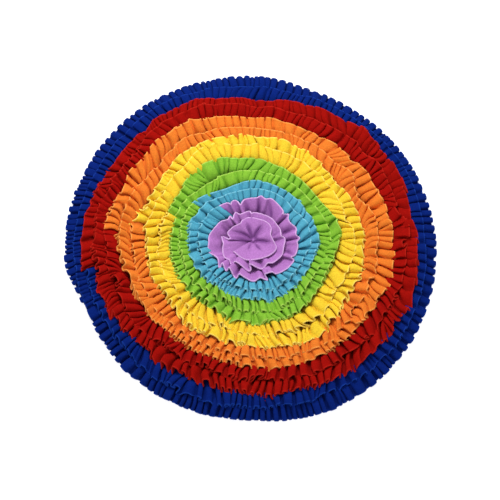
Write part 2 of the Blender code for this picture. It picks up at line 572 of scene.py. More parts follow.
OUTER_BENDS = (
    Bend(872, 49), Bend(882, 52), Bend(897, 58.5), Bend(908, 60), Bend(919, 63), Bend(928, 58),
    Bend(935, 57), Bend(944, 63), Bend(943, 56), Bend(953, 60), Bend(955, 55), Bend(968, 63),
    Bend(971, 57), Bend(979, 59), Bend(990, 63), Bend(999, 59.5), Bend(1007, 64), Bend(1006, 56),
    Bend(1016, 56.5), Bend(1021, 61), Bend(1035, 63.5), Bend(1048, 63.5), Bend(1049, 58.5),
    Bend(1056, 61.5), Bend(1067, 61), Bend(1073, 59), Bend(1079, 62), Bend(1083, 57),
    Bend(1093, 59), Bend(1101, 53.5), Bend(1109, 53.5), Bend(1115, 58), Bend(1119, 51),
    Bend(1122, 54.5), Bend(1131, 57), Bend(1146, 61), Bend(1153, 57), Bend(1160, 61),
    Bend(1166, 56.5), Bend(1176, 56.5), Bend(1184, 55), Bend(1191, 48), Bend(1192, 55),
    Bend(1195, 59), Bend(1200, 58.5), Bend(1203, 55), Bend(1206, 61), Bend(1216, 64),
)


@dataclass(frozen=True)
class PetalCrease:
    """A crease of the purple strip, from its inner to its outer end, in degrees as for a bend."""

    inner_mm: float
    inner_degrees: float
    outer_mm: float
    outer_degrees: float
    depth_mm: float


FLOWER_CREASES = (
    PetalCrease(8, 242, 20, 248, 0.9),
    PetalCrease(8, 294, 22, 301, 1.4),
    PetalCrease(3, 350, 26, 346, 3.0),
    PetalCrease(4, 432, 24, 416, 3.2),
    PetalCrease(4, 478, 25, 471, 3.2),
    PetalCrease(5, 503, 33, 524, 2.8),
    PetalCrease(8, 546, 42, 537, 3.4),
)
ROW_CREASES = (
    PetalCrease(36, 598, 46, 594, 2.0),
    PetalCrease(33, 626, 43, 623, 2.0),
    PetalCrease(34, 647, 44, 645, 2.0),
    PetalCrease(27, 728, 37, 733, 2.0),
    PetalCrease(29, 818, 36, 819, 1.6),
    PetalCrease(29, 864, 41, 859, 2.4),
    PetalCrease(36, 882, 46, 877, 2.0),
    PetalCrease(40, 935, 56, 930, 1.6),
    PetalCrease(46, 967, 61, 966, 2.4),
    PetalCrease(50, 1011, 62, 1008, 2.4),
    PetalCrease(49, 1059, 61, 1052, 2.4),
    PetalCrease(44, 1078, 60, 1079, 2.4),
    PetalCrease(43, 1095, 59, 1092, 2.4),
    PetalCrease(38, 1112, 55, 1115, 2.4),
    PetalCrease(42, 1134, 56, 1147, 1.6),
    PetalCrease(38, 1159, 56, 1163, 2.6),
    PetalCrease(38, 1180, 54, 1183, 2.8),
    PetalCrease(44, 1214, 56, 1213, 1.8),
)


@dataclass(frozen=True)
class Shell:
    """How finely a strip's surface is made, and how round its cut edge is.

    shares are the places across the width at which it has points, and edge_on_face is how much
    of the painted highlight of the cut edge the faces of the cloth take where they meet it.
    """

    step: float = 1.38 * MM
    half_thickness: float = 1.0 * MM
    shares: tuple[float, ...] = (0.0, 0.2, 0.38, 0.53, 0.66, 0.78, 0.88, 0.95, 1.0)
    nose_reach: float = 0.72 * MM
    nose_spread: float = 0.62
    edge_on_face: float = 0.7


@dataclass(frozen=True)
class Stray:
    """How far something strays from its usual place, and over how many folds it wanders."""

    reach: float
    folds: float


@dataclass(frozen=True)
class Drape:
    """How a strip lies between its neighbours, in metres and shares.

    A name that ends in _from is the share of the width at which something starts, and it is in
    full force at the free edge. A span is the two ends of a smooth start, and limits are the
    least and the most that a value may be. rim_start is in turns before the end of the spiral.
    """

    floor: float = 1.05 * MM
    floor_softness_mm: float = 0.6
    # how the folds grow from the seam to the free edge
    seam_fold: float = 0.30
    growth_span: Span = (0.0, 0.55)
    edge_flare: float = 0.08
    flare_from: float = 0.6
    flat_fold: float = 2.2 * MM
    unfolding: float = 6.0 * MM
    width_evening: int = 7
    least_wave_step: float = 1e-6
    # the room that the rows leave each other
    room_above_edge: float = 6.8 * MM
    usual_room: float = 4.3 * MM
    covered_room: float = 0.54
    hanging_room: float = 0.30
    covered_limits: Span = (0.2, 0.7)
    opening_span: Span = (0.20, 0.53)
    tightness_limits: Span = (0.15, 1.25)
    fitting_limits: Span = (0.75, 1.1)
    # the even shape of a row
    bow: float = 3.6 * MM
    bow_pitch: float = 4.0 * MM
    least_bow: float = 0.2
    edge_fall: float = 3.0 * MM
    fall_from: float = 0.62
    droop_from: float = 0.5
    lying_droop: float = 0.5
    rim_start: Span = (1.03, 0.97)
    rim_fall_from: float = 0.35
    least_radius: float = 6.0 * MM
    end_gap: float = 1.0 * MM
    end_tuck: float = 13.0 * MM
    end_tuck_turns: float = 0.045
    # how far a row is from even
    outer_disorder: float = 0.6
    covered_calm: float = 0.78
    calm_span: Span = (0.3, 0.55)
    lean: Stray = Stray(math.radians(1.2), 9)
    lean_from: float = 0.2
    shear: Stray = Stray(0.44, 3)
    skew: Stray = Stray(0.36, 3)
    skew_centre: float = 0.8
    reach: Stray = Stray(2.0 * MM, 1)
    reach_drift: Stray = Stray(1.9 * MM, 12)
    lift: Stray = Stray(1.4 * MM, 1)
    lift_from: float = 0.5
    fullness: Stray = Stray(0.28, 1)
    flick: Stray = Stray(1.5 * MM, 0.8)
    flick_from: float = 0.72
    crease_curve: Stray = Stray(1.0 * MM, 1.5)
    wrinkle: Stray = Stray(1.0 * MM, 0.6)
    wrinkles_in_fold: int = 3
    wrinkle_span: Span = (0.4, 0.7)
    droop: Stray = Stray(0.22, 1)
    # least fold room by which a fold's height is measured for the painted crease shade
    least_shaded_room: float = 1.0 * MM


@dataclass
class Strays:
    """How far the folds of one strip stray, each a column with a value for each station."""

    lean: Array
    shear: Array
    skew: Array
    reach: Array
    lift: Array
    fullness: Array
    flick: Array
    curve: Array
    wrinkle: Array
    second_wrinkle: Array
    droop: Array


class RuffleStrip:
    """One colour of gathered fleece, from its seam to its free edge."""

    shell = Shell()
    drape = Drape()
    habit = FoldHabit()

    def __init__(self, band: ColourBand, start: float, finish: FleeceFinish, seed: int) -> None:
        """Keeps what the strip is made from.

        Args:
            band: Its place in the spiral.
            start: Turn at which it starts.
            finish: Its cloth.
            seed: Start of its random folds.
        """
        self.band = band
        self.start = start
        self.finish = finish
        self.pattern = FoldPattern(self.habit, seed)

    def growth(self, share: Array) -> Array:
        """How much of its fold the cloth has at a share of its width."""
        drape = self.drape
        return drape.seam_fold + (1 - drape.seam_fold) * smooth(share, *drape.growth_span)

    def bow(self, share: Array) -> Array:
        """How far the strip bulges out of its plane."""
        return self.drape.bow * 4 * share * (1 - share)

    def seam(self, turn: Array) -> tuple[Array, Array]:
        """Radius and height of the strip's seam."""
        return PATH.seam_radius(turn), PATH.seam_height(turn)

    def edge(self, turn: Array) -> tuple[Array, Array]:
        """Gives the strip's free edge, which tucks in where the spiral ends.

        Args:
            turn: Places along the spiral.

        Returns:
            Radius and height of the free edge.
        """
        tuck = self.drape.end_tuck * smooth(turn, PATH.end - self.drape.end_tuck_turns, PATH.end)
        height = PATH.seam_height(turn) + PATH.band_width * np.sin(PATH.lean(turn))
        return PATH.edge_radius(turn) - tuck, height

    def rooms(self, share: Array, turn: Array) -> tuple[Array, Array]:
        """Gives the room for folds between the rows.

        Args:
            share: Share of the strip's width.
            turn: Place along the spiral.

        Returns:
            Room above the cloth, which opens towards the free edge, and room below it.
        """
        drape = self.drape
        inside, outside = PATH.pitches(turn)
        fitting = np.sin(PATH.lean(turn)) / math.sin(USUAL_LEAN)
        hidden = np.clip(self.covered(turn), *drape.covered_limits)
        open_edge = smooth(share - hidden, *drape.opening_span)
        above = (self.room(inside, fitting) * drape.covered_room * (1 - open_edge)
                 + drape.room_above_edge * open_edge)
        below = self.room(outside, fitting) * (1 + drape.hanging_room * open_edge)
        return above, below

    def strays(self, stations: Stations) -> Strays:
        """Draws how far the folds stray, in an order that every fold of the mat hangs on.

        Args:
            stations: Places along the strip.

        Returns:
            The strays, which are less on the outermost row and where the row inside covers much.
        """
        drape, turn = self.drape, stations.turn
        calm = drape.covered_calm * smooth(self.covered(turn), *drape.calm_span)
        steady = (1 - (1 - drape.outer_disorder) * self.outermost(turn)) * (1 - calm)
        untidy = gathering(turn, "disorder") * steady
        wrinkle_place = drape.wrinkles_in_fold * stations.wave

        def drawn(stray: Stray, disorder: Array, place: Array = stations.wave) -> Array:
            """Draws one of the strays."""
            return (disorder * self.pattern.wander(place, stray.reach, stray.folds))[:, None]

        return Strays(
            lean=drawn(drape.lean, steady),
            shear=drawn(drape.shear, untidy),
            skew=drawn(drape.skew, untidy),
            reach=drawn(drape.reach, untidy) + drawn(drape.reach_drift, steady),
            lift=drawn(drape.lift, untidy),
            fullness=np.exp(drawn(drape.fullness, steady)),
            flick=drawn(drape.flick, untidy),
            curve=drawn(drape.crease_curve, untidy),
            wrinkle=drawn(drape.wrinkle, untidy, wrinkle_place),
            second_wrinkle=drawn(drape.wrinkle, untidy, wrinkle_place),
            droop=drawn(drape.droop, untidy))

    def middle_surface(self) -> tuple[Array, Array, Array]:
        """Places the folded cloth in the mat.

        Returns:
            Length of cloth at each station, points, one row for each station, and how deep in its
            fold each point lies, from -1 to 1.
        """
        drape, stations = self.drape, self.stations()
        strays = self.strays(stations)
        share = np.array(self.shell.shares)[None, :]
        turn = stations.turn[:, None]
        droop = self.usual_droop(stations.turn)[:, None] + strays.droop

        edge = self.edge(turn)[0]
        radius = self.seam(turn)[0] * (1 - share) + edge * share
        narrowing = radius / edge
        width = narrowing * self.wave_width(stations)[:, None]
        grown = self.growth(share) * np.clip((width - drape.flat_fold) / drape.unfolding, 0, 1)
        flare = 1 + drape.edge_flare * smooth(share, drape.flare_from, 1.0)
        height = stations.height[:, None] * grown * flare
        above, below = self.rooms(share, turn)
        limit = np.where(height > 0, above, below) * strays.fullness
        folded = soft_limit(height, limit)

        sheared = stations.offset[:, None] + strays.shear * stations.height[:, None]
        along = (narrowing * grown * sheared
                 + strays.skew * (share - drape.skew_centre) * PATH.band_width
                 + strays.flick * smooth(share, drape.flick_from, 1.0)
                 + strays.curve * np.sin(TAU * share))
        spun = turn + along / (TAU * np.maximum(radius, drape.least_radius))
        spun_lean = PATH.lean(spun)
        (seam_radius, seam_height), (edge_radius, edge_height) = self.seam(spun), self.edge(spun)
        radius = seam_radius + (edge_radius + strays.reach - seam_radius) * share
        z = (seam_height + (edge_height - seam_height) * share
             + strays.lean * PATH.band_width * smooth(share, drape.lean_from, 1.0))
        wrinkles = strays.wrinkle * np.cos(TAU * share) + strays.second_wrinkle * np.sin(TAU * share)
        raised = (self.bow(share) * self.bow_room(turn)
                  + strays.lift * smooth(share, drape.lift_from, 1.0)
                  + wrinkles * smooth(share, *drape.wrinkle_span)
                  - drape.edge_fall * smooth(share, drape.fall_from, 1.0))
        radius = (radius - (raised + folded) * np.sin(spun_lean)
                  + droop * folded * smooth(share, drape.droop_from, 1.0))
        z = z + (raised + folded) * np.cos(spun_lean)
        z = z - PATH.posture(turn, "droop_mm") * MM * smooth(share, drape.rim_fall_from, 1.0)
        softness = drape.floor_softness_mm
        z = drape.floor + np.logaddexp(0, (z - drape.floor) / (softness * MM)) * softness * MM
        angle = spun * TAU
        points = PATH.placed(radius * np.cos(angle), radius * np.sin(angle), z)
        # Depth in the fold, which the material turns into painted crease shade.
        depth = np.clip(height / np.maximum(limit, drape.least_shaded_room), -1, 1)
        return stations.cloth, points, depth

    def outermost(self, turn: Array) -> Array:
        """1 on the outermost row, and 0 on the others."""
        before, after = self.drape.rim_start
        return smooth(turn, PATH.end - before, PATH.end - after)

    def usual_droop(self, turn: Array) -> Array:
        """Gives how far the free edge bends over where nothing strays.

        Args:
            turn: Places along the spiral.

        Returns:
            Distance that the edge hangs outwards, as a share of its height in the fold.
        """
        droop = gathering(turn, "droop") * self.uprightness(turn)
        return droop + (gathering(turn, "rim_droop") - droop) * self.outermost(turn)

    def uprightness(self, turn: Array) -> Array:
        """How freely the free edge bends over: 1 at the usual lean, and less on a row that lies."""
        lying = self.drape.lying_droop
        return lying + (1 - lying) * PATH.lean(turn) / USUAL_LEAN

    def covered(self, turn: Array) -> Array:
        """Share of the width that lies under the row inside."""
        return 1 - PATH.pitches(turn)[0] / (PATH.band_width * np.cos(PATH.lean(turn)))

    def bow_room(self, turn: Array) -> Array:
        """Gives the share of the usual bow that fits under the row inside.

        Args:
            turn: Places along the spiral.

        Returns:
            1 where the rows are as far apart as usual, and less where they are closer.
        """
        tightest = self.drape.bow_pitch
        inside = PATH.pitches(turn)[0]
        return np.clip((inside - tightest) / (PATH.row_pitch - tightest), self.drape.least_bow, 1)

    def wave_width(self, stations: Stations) -> Array:
        """Gives the width of the fold that each station lies in, evened from fold to fold.

        Args:
            stations: Places along the strip.

        Returns:
            Width along the mat at each place.
        """
        reach = self.drape.width_evening
        width = np.diff(PATH.length_at(stations.turn), append=np.nan)
        width[-1] = width[-2]
        share = np.diff(stations.wave, append=np.nan)
        share[-1] = share[-2]
        values = width / np.maximum(share, self.drape.least_wave_step)
        kernel = np.ones(2 * reach + 1) / (2 * reach + 1)
        return np.convolve(np.pad(values, reach, mode="edge"), kernel, mode="valid")

    def room(self, pitch: Array, fitting: Array) -> Array:
        """Gives the room for folds on one side of the cloth, less where the rows are close.

        Args:
            pitch: Distance to the row on that side.
            fitting: Height of the strip, as a share of its height at the usual lean.

        Returns:
            Room at right angles to the cloth.
        """
        drape = self.drape
        tight = (pitch - PATH.tightest_pitch) / (PATH.row_pitch - PATH.tightest_pitch)
        return (drape.usual_room * np.clip(tight, *drape.tightness_limits)
                * np.clip(fitting, *drape.fitting_limits))

    def shell_points(self, middle: Array) -> tuple[Array, Array, Array]:
        """Gives the cloth its thickness.

        Args:
            middle: The middle surface, one row for each station.

        Returns:
            Points of the closed ring at each station, the share of the width at each point of a
            ring, and the strength of the painted cut-edge highlight: 1 where the ring passes over the
            cut edge, less on the faces beside it.
        """
        shell = self.shell
        outward = np.gradient(middle, axis=1)
        normal = unit(np.cross(outward, np.gradient(middle, axis=0)))
        padded = np.concatenate([normal[:1], normal, normal[-1:]])
        normal = unit(padded[:-2] + 2 * normal + padded[2:])
        top = middle + shell.half_thickness * normal
        bottom = middle - shell.half_thickness * normal
        nose = middle[:, -1] + shell.nose_reach * unit(outward[:, -1])
        spread = shell.half_thickness * shell.nose_spread * normal[:, -1]
        rings = np.concatenate([top, (nose + spread)[:, None], (nose - spread)[:, None],
                                bottom[:, ::-1]], axis=1)
        shares = np.array(shell.shares)
        ring_share = np.concatenate([shares, [1.0, 1.0], shares[::-1]])
        # The cut edge takes the full painted highlight, and the faces beside it a share of it.
        on_face = np.where(shares == 1.0, shell.edge_on_face, 0.0)
        cut_edge = np.concatenate([on_face, [1.0, 1.0], on_face[::-1]])
        return rings, ring_share, cut_edge

    def stations(self) -> Stations:
        """Lays out the strip's folds.

        Returns:
            Places along the strip.
        """
        first = self.start + self.drape.end_gap / (TAU * float(PATH.edge_radius(self.start)))
        waves = self.pattern.waves(first, self.band.end)
        return self.pattern.stations(waves, float(PATH.length_at(first)), self.shell.step)

    def build(self) -> bpy.types.Object:
        """Makes the strip and dresses it.

        Returns:
            The finished piece, which stands for the strip's solid.
        """
        lengths, middle, depth = self.middle_surface()
        rings, ring_share, cut_edge = self.shell_points(middle)
        count, around = rings.shape[:2]
        depth = np.concatenate([depth, depth[:, -1:], depth[:, -1:], depth[:, ::-1]], axis=1)

        index = np.arange(count * around).reshape(count, around)
        near, far = index[:-1], index[1:]
        turned = np.roll(np.arange(around), -1)
        quads = np.stack([near, near[:, turned], far[:, turned], far], axis=-1).reshape(-1, 4)
        level = np.arange(around // 2 - 1)
        first, last = index[0], index[-1]
        caps = [np.stack([ring[level + 1], ring[level], ring[around - 1 - level],
                          ring[around - 2 - level]], axis=-1) for ring in (first, last)]
        quads = np.concatenate([quads, caps[0][:, ::-1], caps[1]])
        mesh = mesh_from(self.band.node + "_cloth", rings.reshape(-1, 3), quads)
        # share, cut_edge and fold_depth drive the painted crease shade and the painted cut-edge
        # highlight.
        add_values(mesh, "share", np.tile(ring_share, count))
        add_values(mesh, "cut_edge", np.tile(cut_edge, count))
        add_values(mesh, "fold_depth", depth.reshape(-1))
        cloth = np.repeat(lengths, around)
        add_uv(mesh, "cloth", cloth, np.tile(ring_share * PATH.band_width, count))
        mesh.materials.append(self.finish.material())
        piece = add_piece(self.band.node + "_fleece", mesh)
        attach(piece, "root")
        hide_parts(self.band.node)
        return piece


@dataclass(frozen=True)
class Petals:
    """The flower in the middle and the two rows around it, in metres, turns and shares.

    The heart is where the flower's seam is drawn together, with a small knob in its middle and a
    groove around that. A crease starts to show crease_start_mm before its inner end, and fades
    out from a little before its outer end to crease_overrun past it.
    """

    heart_radius: float = 0.4 * MM
    heart_height: float = 9.0 * MM
    edge_height: float = 19.5 * MM
    dive: float = 3.5 * MM
    dive_span: Span = (1.46, 1.60)
    crown: float = 1.6 * MM
    flower_end: float = 1.58
    rows_start: float = 1.75
    steps_in_bend: int = 12
    evenness: float = 9.0 * MM
    evening_reach: int = 3
    steepness: float = 0.85
    most_rise: float = 3.6 * MM
    most_fall: float = 0.8 * MM
    row_bow: float = 1.8 * MM
    row_growth_span: Span = (-0.1, 0.6)
    crease_width: float = 1.7 * MM
    crease_start_mm: float = 3
    crease_overrun: float = 2.0 * MM
    flower_crease_fade: float = 8.0 * MM
    row_crease_fade: float = 1.0 * MM
    # crease depth at which the painted crease shade is at its darkest
    crease_at_full_shade: float = 0.85 * MM
    knob: float = 2.6 * MM
    knob_radius: float = 1.9 * MM
    groove: float = 1.6 * MM
    groove_radius: float = 3.6 * MM


@dataclass
class EdgeLine:
    """The purple strip's free edge, one value for each station in every array."""

    cloth: Array
    direction: Array
    radius: Array
    even_direction: Array
    even_radius: Array


class FlowerStrip(RuffleStrip):
    """The purple strip, whose first time round lies as a small flower over the middle."""

    petals = Petals()
    shell = Shell(step=1.1 * MM, shares=(
        0.0, 0.04, 0.08, 0.12, 0.17, 0.23, 0.30, 0.38, 0.47, 0.56, 0.65, 0.74, 0.82, 0.89, 0.95, 1.0))

    def edge_line(self) -> EdgeLine:
        """Draws the free edge smoothly through its bends.

        Returns:
            The edge, and the even line that it strays from.
        """
        rows = FLOWER_BENDS + INNER_BENDS + OUTER_BENDS
        angle = np.radians([row.degrees for row in rows])
        reach = np.array([row.radius_mm for row in rows], dtype=float) * MM
        knots = np.stack([reach * np.cos(angle), reach * np.sin(angle)], axis=-1)
        knots = np.concatenate([2 * knots[:1] - knots[1:2], knots, 2 * knots[-1:] - knots[-2:-1]])
        steps = self.petals.steps_in_bend
        t = (np.arange(steps) / steps)[None, :, None]
        before, a, b, after = (knots[index:len(knots) - 3 + index, None] for index in range(4))
        curve = 0.5 * (2 * a + (b - before) * t + (2 * before - 5 * a + 4 * b - after) * t ** 2
                       + (3 * a - before - 3 * b + after) * t ** 3)
        curve = np.concatenate([curve.reshape(-1, 2), knots[-2:-1]])
        length = np.concatenate([[0.0], np.cumsum(np.linalg.norm(np.diff(curve, axis=0), axis=1))])
        cloth = np.linspace(0, length[-1], round(length[-1] / self.shell.step))
        x, y = (np.interp(cloth, length, curve[:, axis]) for axis in (0, 1))
        direction = np.unwrap(np.arctan2(y, x))
        direction += angle[0] - direction[0]
        radius = np.hypot(x, y)
        return EdgeLine(cloth, direction, radius, self.evened(direction), self.evened(radius))

    def evened(self, values: Array) -> Array:
        """Smooths a value along the edge.

        Args:
            values: The value at each station.

        Returns:
            Its mean over the stations near by, the nearest counting most.
        """
        petals, step = self.petals, self.shell.step
        reach = round(petals.evening_reach * petals.evenness / step)
        weight = np.exp(-0.5 * (np.arange(-reach, reach + 1) * step / petals.evenness) ** 2)
        padded = np.pad(values, reach, mode="reflect", reflect_type="odd")
        return np.convolve(padded, weight / weight.sum(), mode="valid")

    def creases(self, radius: Array, angle: Array, rows: tuple[PetalCrease, ...],
                fade: float) -> Array:
        """Depth of the creases between the petals.

        Args:
            radius: Distance from the middle of the flower.
            angle: Direction from it, running on as the strip does.
            rows: The creases.
            fade: How far before its outer end a crease starts to fade.

        Returns:
            Depth at each place.
        """
        petals = self.petals
        depth = np.zeros_like(radius)
        for row in rows:
            share = np.clip((radius / MM - row.inner_mm) / (row.outer_mm - row.inner_mm), 0, 1)
            line = np.radians(row.inner_degrees + share * (row.outer_degrees - row.inner_degrees))
            across = radius * np.abs(angle - line)
            start = smooth(radius, (row.inner_mm - petals.crease_start_mm) * MM,
                           (row.inner_mm + petals.crease_start_mm) * MM)
            end = smooth(radius, row.outer_mm * MM - fade, row.outer_mm * MM + petals.crease_overrun)
            depth = np.maximum(depth, row.depth_mm * MM * (start * (1 - end))
                               * np.exp(-across / petals.crease_width))
        return depth

    def middle_surface(self) -> tuple[Array, Array, Array]:
        """Places the strip: the flower first, and then the rows that stand around it.

        Returns:
            Length of cloth at each station, points, one row for each station, and how deep in its
            fold each point lies, from -1 to 1.
        """
        petals, line = self.petals, self.edge_line()
        share = np.array(self.shell.shares)[None, :]
        direction, radius = line.direction[:, None], line.radius[:, None]
        even_direction, even_radius = line.even_direction[:, None], line.even_radius[:, None]
        turn = even_direction / TAU
        flower = 1 - smooth(turn, petals.flower_end, petals.rows_start)

        def blend(petal: Array | float, row: Array) -> Array:
            """Goes over from the flower's value to that of the rows around it."""
            return row + (petal - row) * flower

        lean = PATH.lean(turn)
        seam_radius = blend(petals.heart_radius, even_radius - PATH.band_width * np.cos(lean))
        dive = petals.dive * smooth(turn, *petals.dive_span)
        seam_height = blend(petals.heart_height - dive, PATH.seam_height(turn))
        edge_height = blend(petals.edge_height,
                            PATH.seam_height(turn) + PATH.band_width * np.sin(lean))
        grown = blend(share, smooth(share, *petals.row_growth_span))
        base = seam_radius + (even_radius - seam_radius) * share
        x = base * np.cos(even_direction) + grown * (
            radius * np.cos(direction) - even_radius * np.cos(even_direction))
        y = base * np.sin(even_direction) + grown * (
            radius * np.sin(direction) - even_radius * np.sin(even_direction))
        rise = np.clip(petals.steepness * (even_radius - radius), -petals.most_fall,
                       petals.most_rise)
        bow = blend(petals.crown * np.sin(math.pi * share), petals.row_bow * 4 * share * (1 - share))
        from_middle = np.hypot(x, y)
        angle = np.arctan2(y, x)
        angle = even_direction + (angle - even_direction + math.pi) % TAU - math.pi
        in_flower = self.creases(from_middle, angle, FLOWER_CREASES, petals.flower_crease_fade)
        in_rows = self.creases(from_middle, angle, ROW_CREASES, petals.row_crease_fade)
        crease = in_flower * flower + in_rows * (1 - flower)
        knob = flower * petals.knob * np.exp(-(from_middle / petals.knob_radius) ** 2)
        crease = crease + flower * petals.groove * np.exp(
            -((from_middle - petals.groove_radius) / petals.knob_radius) ** 2)
        z = seam_height + (edge_height - seam_height) * share + bow + grown * rise - crease + knob
        points = PATH.placed(x, y, z)
        # Depth in the fold, the creases counting most, which the material turns into painted crease
        # shade.
        depth = np.clip(grown * rise / petals.most_rise - crease / petals.crease_at_full_shade, -1, 1)
        return line.cloth, points, depth


# ---------------------------------------------------------------- meshes


def mesh_from(name: str, points: Array, quads: Array) -> bpy.types.Mesh:
    """Makes a smooth mesh of quads.

    Args:
        name: Name of the mesh.
        points: Its points.
        quads: Four point numbers for each face.

    Returns:
        The mesh.
    """
    mesh = bpy.data.meshes.new(name)
    mesh.vertices.add(len(points))
    mesh.vertices.foreach_set("co", points.astype(np.float32).ravel())
    mesh.loops.add(quads.size)
    mesh.loops.foreach_set("vertex_index", quads.astype(np.int32).ravel())
    mesh.polygons.add(len(quads))
    mesh.polygons.foreach_set("loop_start", np.arange(0, quads.size, 4, dtype=np.int32))
    mesh.update(calc_edges=True)
    mesh.polygons.foreach_set("use_smooth", np.ones(len(quads), dtype=bool))
    mesh.validate()
    return mesh


def add_values(mesh: bpy.types.Mesh, name: str, values: Array) -> None:
    """Stores one number for each point, for the material to read."""
    layer = mesh.attributes.new(name, "FLOAT", "POINT")
    layer.data.foreach_set("value", values.astype(np.float32))


def add_uv(mesh: bpy.types.Mesh, name: str, u: Array, v: Array) -> None:
    """Stores the flat cloth's own metres as a UV map.

    Args:
        mesh: The cloth.
        name: Name of the map.
        u: Length along the cloth at each point.
        v: Length across it.
    """
    corner = np.empty(len(mesh.loops), dtype=np.int32)
    mesh.loops.foreach_get("vertex_index", corner)
    flat = np.stack([u[corner], v[corner]], axis=-1).astype(np.float32)
    mesh.uv_layers.new(name=name).data.foreach_set("uv", flat.ravel())


def add_piece(name: str, mesh: bpy.types.Mesh) -> bpy.types.Object:
    """Puts a mesh in the scene, with its place in its mesh.

    Args:
        name: Name of the piece.
        mesh: Its mesh.

    Returns:
        The piece.
    """
    piece = bpy.data.objects.new(name, mesh)
    bpy.context.scene.collection.objects.link(piece)
    return piece


def triangles(piece: bpy.types.Object) -> int:
    """Counts the triangles of a piece."""
    return sum(len(face.vertices) - 2 for face in piece.data.polygons)


# ---------------------------------------------------------------- finishes


@dataclass(frozen=True)
class Noise:
    """A noise: its spots to a metre, and how much fine noise lies over them."""

    scale: float
    detail: float
    roughness: float


@dataclass(frozen=True)
class Ramp:
    """A smooth change between two values of an input, and what comes out at each."""

    low: float
    high: float
    out_low: float = 0.0
    out_high: float = 1.0


TUFTS = Noise(560.0, 3.0, 0.65)
CLUMPS = Noise(260.0, 2.0, 0.5)
PATCHES = Noise(38.0, 2.0, 0.5)
TWIST = Noise(2200.0, 1.0, 0.5)
TUFT_HEIGHT = 0.55
CLUMP_HEIGHT = 0.45
# Ramps of the painted crease shade: by the fold's depth, and weaker towards the free edge.
CREASE_SHADE_BY_DEPTH = Ramp(0.1, -0.9)
CREASE_SHADE_BY_WIDTH = Ramp(1.0, 0.45, 0.25, 1.0)
# Ramp of the painted highlight on the cut edges.
CUT_EDGE_HIGHLIGHT = Ramp(0.15, 0.9)


class Tree:
    """Short way of building a node tree."""

    # inputs of a Mix node that mixes colours: how much of the second, the first and the second
    mix_inputs = (0, 6, 7)
    mix_output = 2

    def __init__(self, tree: bpy.types.NodeTree) -> None:
        """Keeps the tree."""
        self.tree = tree

    def add(self, kind: str, **settings: object) -> bpy.types.Node:
        """Adds a node.

        Args:
            kind: Its type's name.
            **settings: Its properties.

        Returns:
            The node.
        """
        node = self.tree.nodes.new(kind)
        for name, value in settings.items():
            setattr(node, name, value)
        return node

    def link(self, source: bpy.types.NodeSocket, target: bpy.types.NodeSocket) -> None:
        """Joins two sockets."""
        self.tree.links.new(source, target)

    def feed(self, target: bpy.types.NodeSocket, value: object) -> None:
        """Joins a socket to another, or sets its value.

        Args:
            target: The input.
            value: An output, or a plain value.
        """
        if isinstance(value, bpy.types.NodeSocket):
            self.link(value, target)
        else:
            target.default_value = value

    def math(self, operation: str, *values: object) -> bpy.types.NodeSocket:
        """Adds a Math node.

        Args:
            operation: What it does.
            *values: What it does it to.

        Returns:
            Its result.
        """
        node = self.add("ShaderNodeMath", operation=operation)
        for socket, value in zip(node.inputs, values):
            self.feed(socket, value)
        return node.outputs[0]

    def ramp(self, value: object, ramp: Ramp) -> bpy.types.NodeSocket:
        """Adds a smooth Map Range node.

        Args:
            value: What it reads.
            ramp: How it changes that.

        Returns:
            Its result.
        """
        node = self.add("ShaderNodeMapRange", interpolation_type="SMOOTHSTEP")
        fed = (value, ramp.low, ramp.high, ramp.out_low, ramp.out_high)
        for socket, one in zip(node.inputs, fed):
            self.feed(socket, one)
        return node.outputs[0]

    def mix(self, share: object, a: object, b: object) -> bpy.types.NodeSocket:
        """Adds a Mix node for colours.

        Args:
            share: How much of the second colour is in the mix.
            a: The first colour.
            b: The second colour.

        Returns:
            The mixed colour.
        """
        node = self.add("ShaderNodeMix", data_type="RGBA")
        for number, fed in zip(self.mix_inputs, (share, a, b)):
            self.feed(node.inputs[number], fed)
        return node.outputs[self.mix_output]

    def noise(self, vector: object, noise: Noise) -> bpy.types.NodeSocket:
        """Adds a Noise node.

        Args:
            vector: Where it is read.
            noise: What it is like.

        Returns:
            Its value.
        """
        node = self.add("ShaderNodeTexNoise")
        self.feed(node.inputs["Vector"], vector)
        node.inputs["Scale"].default_value = noise.scale
        node.inputs["Detail"].default_value = noise.detail
        node.inputs["Roughness"].default_value = noise.roughness
        return node.outputs["Fac"]


class GroupSocket(Enum):
    """Kinds of socket that a shared effect has."""

    NUMBER = "NodeSocketFloat"
    COLOUR = "NodeSocketColor"
    VECTOR = "NodeSocketVector"


def new_group(name: str, inputs: tuple[tuple[str, GroupSocket, object], ...],
              outputs: tuple[tuple[str, GroupSocket], ...]
              ) -> tuple[Tree, bpy.types.Node, bpy.types.Node]:
    """Starts a shared effect.

    Args:
        name: Name of the group.
        inputs: Name, kind and first value of each input.
        outputs: Name and kind of each output.

    Returns:
        The group's tree, its input node and its output node.
    """
    group = bpy.data.node_groups.new(name, "ShaderNodeTree")
    for label, kind, value in inputs:
        socket = group.interface.new_socket(label, in_out="INPUT", socket_type=kind.value)
        socket.default_value = value
    for label, kind in outputs:
        group.interface.new_socket(label, in_out="OUTPUT", socket_type=kind.value)
    tree = Tree(group)
    return tree, tree.add("NodeGroupInput"), tree.add("NodeGroupOutput")


